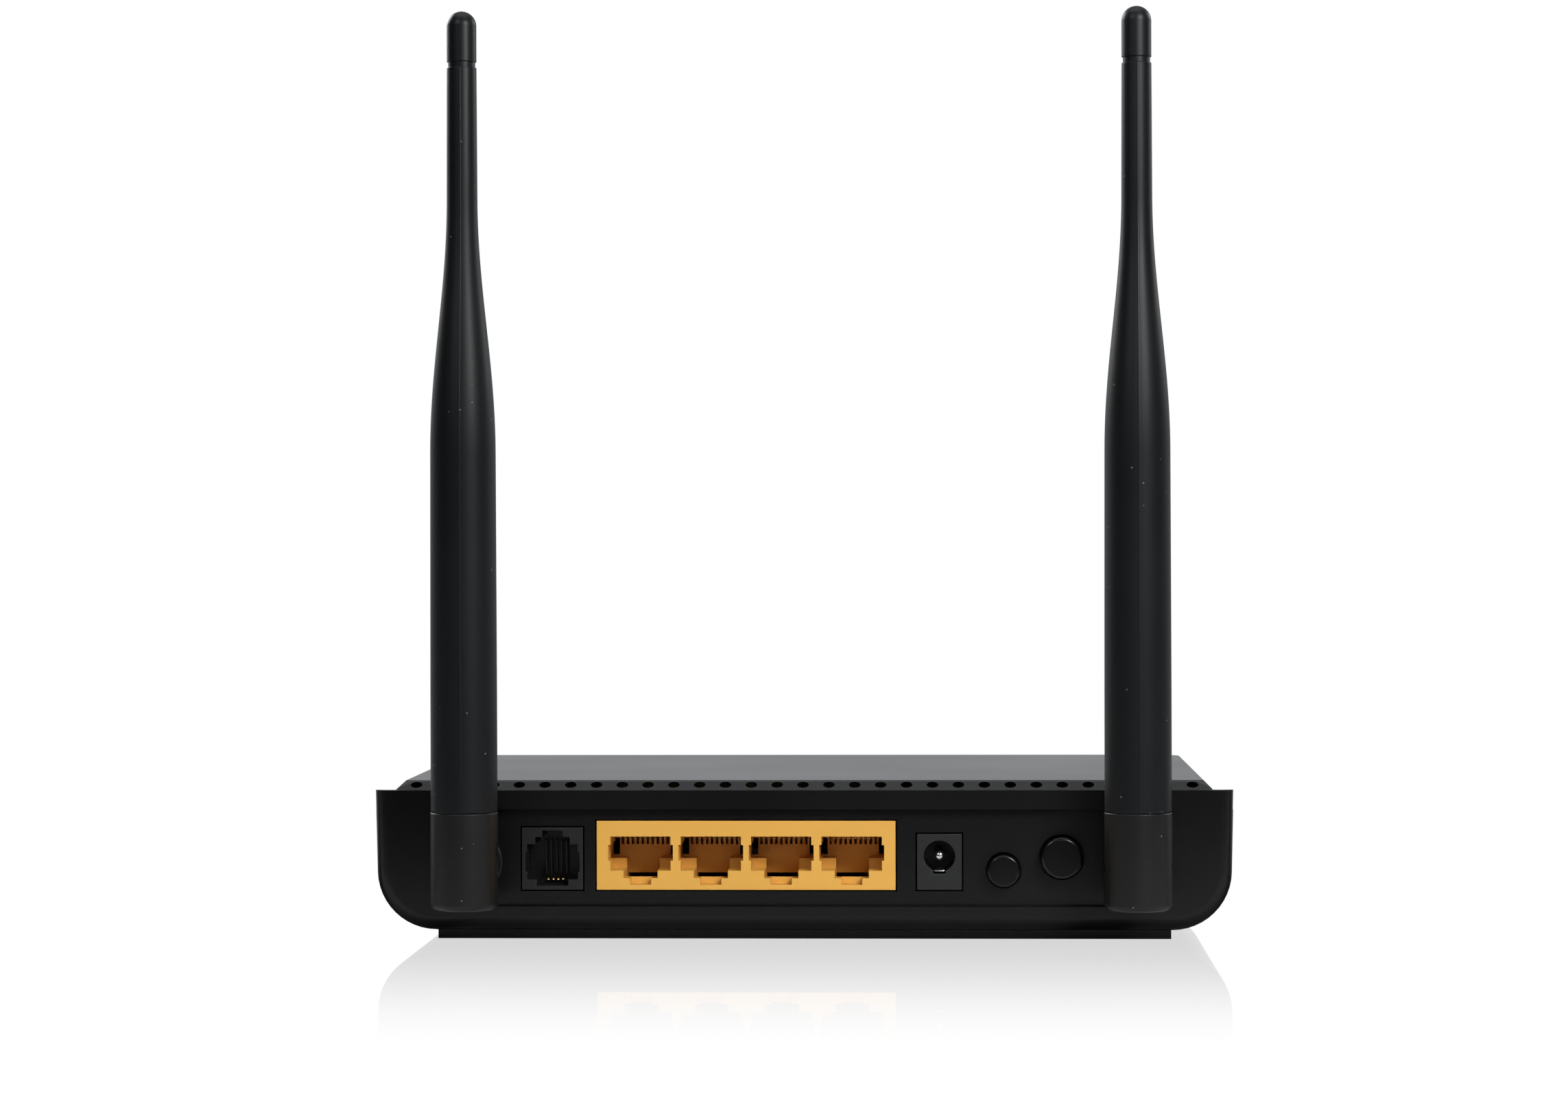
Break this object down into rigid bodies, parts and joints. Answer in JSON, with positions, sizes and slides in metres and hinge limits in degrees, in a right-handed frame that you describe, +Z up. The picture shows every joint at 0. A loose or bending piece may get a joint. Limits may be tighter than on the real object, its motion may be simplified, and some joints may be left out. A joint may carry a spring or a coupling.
{
  "type": "wireless router",
  "caption": "Low wireless router with a recessed rear socket panel, push buttons and two folding, swivelling whip antennas.",
  "frame": {"origin": "centre of the bounding box in X and Y, antennas included, and z = 0 under the rubber feet", "axes": "+Z up; -Y towards the side with the sockets and antennas; +X to the right when looking at the sockets"},
  "size_m": [0.1706, 0.1206, 0.1832],
  "materials": {
    "housing": "fine moulded texture, satin",
    "cover": "smooth satin gloss",
    "rubber": "matt",
    "steel": "zinc plated",
    "label": "blank, matt",
    "board": "solder mask, satin",
    "lan_yellow": "moulded, semi-gloss",
    "gold_contact": "gold plated",
    "dark_grey": "moulded, satin",
    "slate_grey": "moulded, satin",
    "nickel": "nickel plated",
    "switch_black": "matt",
    "switch_white": "matt",
    "chip_black": "moulded epoxy, matt",
    "pad": "soft silicone",
    "alloy": "extruded",
    "can_blue": "printed sleeve",
    "ceramic": "matt",
    "led": "clear epoxy",
    "light_clear": "clear moulded acrylic",
    "smoke": "smoked, polished",
    "button_gloss": "polished",
    "antenna_satin": "fine texture, satin",
    "coax_grey": "smooth jacket",
    "brass_tube": "drawn"
  },
  "bodies": {
    "case": {"lower_housing": "housing", "upper_cover": "cover", "rubber_feet": "rubber", "case_screws": "steel", "rating_label": "label", "main_board": "board", "board_screws": "steel", "lan_jack_housing": "lan_yellow", "lan_jack_contacts": "gold_contact", "dsl_jack_housing": "dark_grey", "dsl_jack_contacts": "gold_contact", "power_jack_body": "slate_grey", "power_jack_pin": "nickel", "power_jack_contact": "nickel", "wps_switch_body": "switch_black", "power_switch_body": "switch_white", "processor_chip": "chip_black", "thermal_pad": "pad", "heat_sink": "alloy", "memory_chips": "chip_black", "flash_chip": "chip_black", "wifi_shield_can": "nickel", "ethernet_transformers": "chip_black", "dsl_line_transformer": "dark_grey", "electrolytic_capacitors": "can_blue", "power_inductors": "dark_grey", "small_components": "ceramic", "crystal_oscillators": "nickel", "coax_sockets": "gold_contact", "left_coax_plug": "nickel", "right_coax_plug": "nickel", "left_pigtail": "coax_grey", "right_pigtail": "coax_grey", "status_leds": "led", "light_guide": "light_clear", "led_window": "smoke"},
    "wps_button": {"wps_button_cap": "button_gloss", "wps_switch_plunger": "switch_white"},
    "power_button": {"power_button_cap": "button_gloss", "power_switch_plunger": "switch_white"},
    "left_swivel": {"left_swivel_hub": "antenna_satin", "left_hub_retainer": "steel", "left_hub_coax": "coax_grey"},
    "left_antenna": {"left_antenna_base": "antenna_satin", "left_hinge_pin": "steel", "left_antenna_sleeve": "antenna_satin", "left_antenna_cap": "antenna_satin", "left_antenna_radiator": "brass_tube", "left_antenna_coax": "coax_grey"},
    "right_swivel": {"right_swivel_hub": "antenna_satin", "right_hub_retainer": "steel", "right_hub_coax": "coax_grey"},
    "right_antenna": {"right_antenna_base": "antenna_satin", "right_hinge_pin": "steel", "right_antenna_sleeve": "antenna_satin", "right_antenna_cap": "antenna_satin", "right_antenna_radiator": "brass_tube", "right_antenna_coax": "coax_grey"}
  },
  "joints": [
    {"name": "left_antenna_swivel", "type": "hinge", "parent": "case", "child": "left_swivel", "pos_m": [-0.0658, -0.0397, 0.0158], "axis": [0, 1, 0], "range_deg": [-90, 20]},
    {"name": "left_antenna_fold", "type": "hinge", "parent": "left_swivel", "child": "left_antenna", "pos_m": [-0.0658, -0.0537, 0.0158], "axis": [1, 0, 0], "range_deg": [0, 90]},
    {"name": "right_antenna_swivel", "type": "hinge", "parent": "case", "child": "right_swivel", "pos_m": [0.0658, -0.0397, 0.0158], "axis": [0, 1, 0], "range_deg": [-20, 90]},
    {"name": "right_antenna_fold", "type": "hinge", "parent": "right_swivel", "child": "right_antenna", "pos_m": [0.0658, -0.0537, 0.0158], "axis": [1, 0, 0], "range_deg": [0, 90]},
    {"name": "wps_button_press", "type": "slide", "parent": "case", "child": "wps_button", "axis": [0, 1, 0], "range_m": [0, 0.0008], "stiffness_N_per_m": 1500, "springref_m": -0.0002},
    {"name": "power_button_press", "type": "slide", "parent": "case", "child": "power_button", "axis": [0, 1, 0], "range_m": [0, 0.0025], "stiffness_N_per_m": 800, "springref_m": -0.0004}
  ]
}
